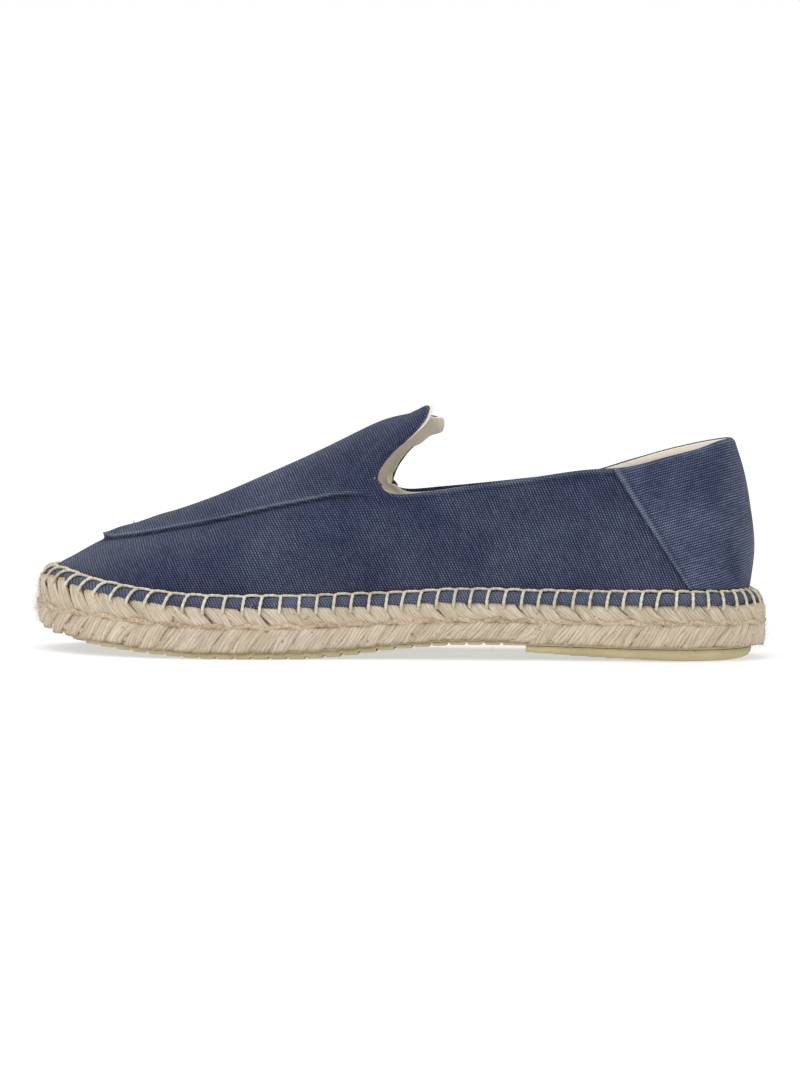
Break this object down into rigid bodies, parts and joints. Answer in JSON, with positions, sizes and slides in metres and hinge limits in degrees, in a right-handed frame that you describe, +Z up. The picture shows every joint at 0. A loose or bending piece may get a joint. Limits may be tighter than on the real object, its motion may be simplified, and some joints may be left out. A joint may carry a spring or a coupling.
{
  "type": "espadrille",
  "caption": "Slip-on espadrille with a canvas upper, raised apron seam, stitched hem, braided jute sole and thin rubber outsole.",
  "frame": {"origin": "on the floor under the middle of the shoe's bounding box", "axes": "+X along the shoe from toe to heel, +Y to the wearer's right, which is the inner side of this left shoe, +Z up"},
  "size_m": [0.28, 0.1003, 0.0956],
  "materials": {
    "canvas": "washed cotton canvas, matte, mottled blue",
    "insole_cloth": "plain cream cotton, matte",
    "thread": "waxed cotton thread, pale cream",
    "jute": "raw jute braid, matte",
    "rubber": "natural crepe-coloured rubber, satin"
  },
  "bodies": {
    "root": {"upper": "canvas", "heel_counter": "canvas", "insole": "insole_cloth", "jute_sole": "jute", "rubber_outsole": "rubber", "heel_lift": "rubber"}
  },
  "joints": []
}
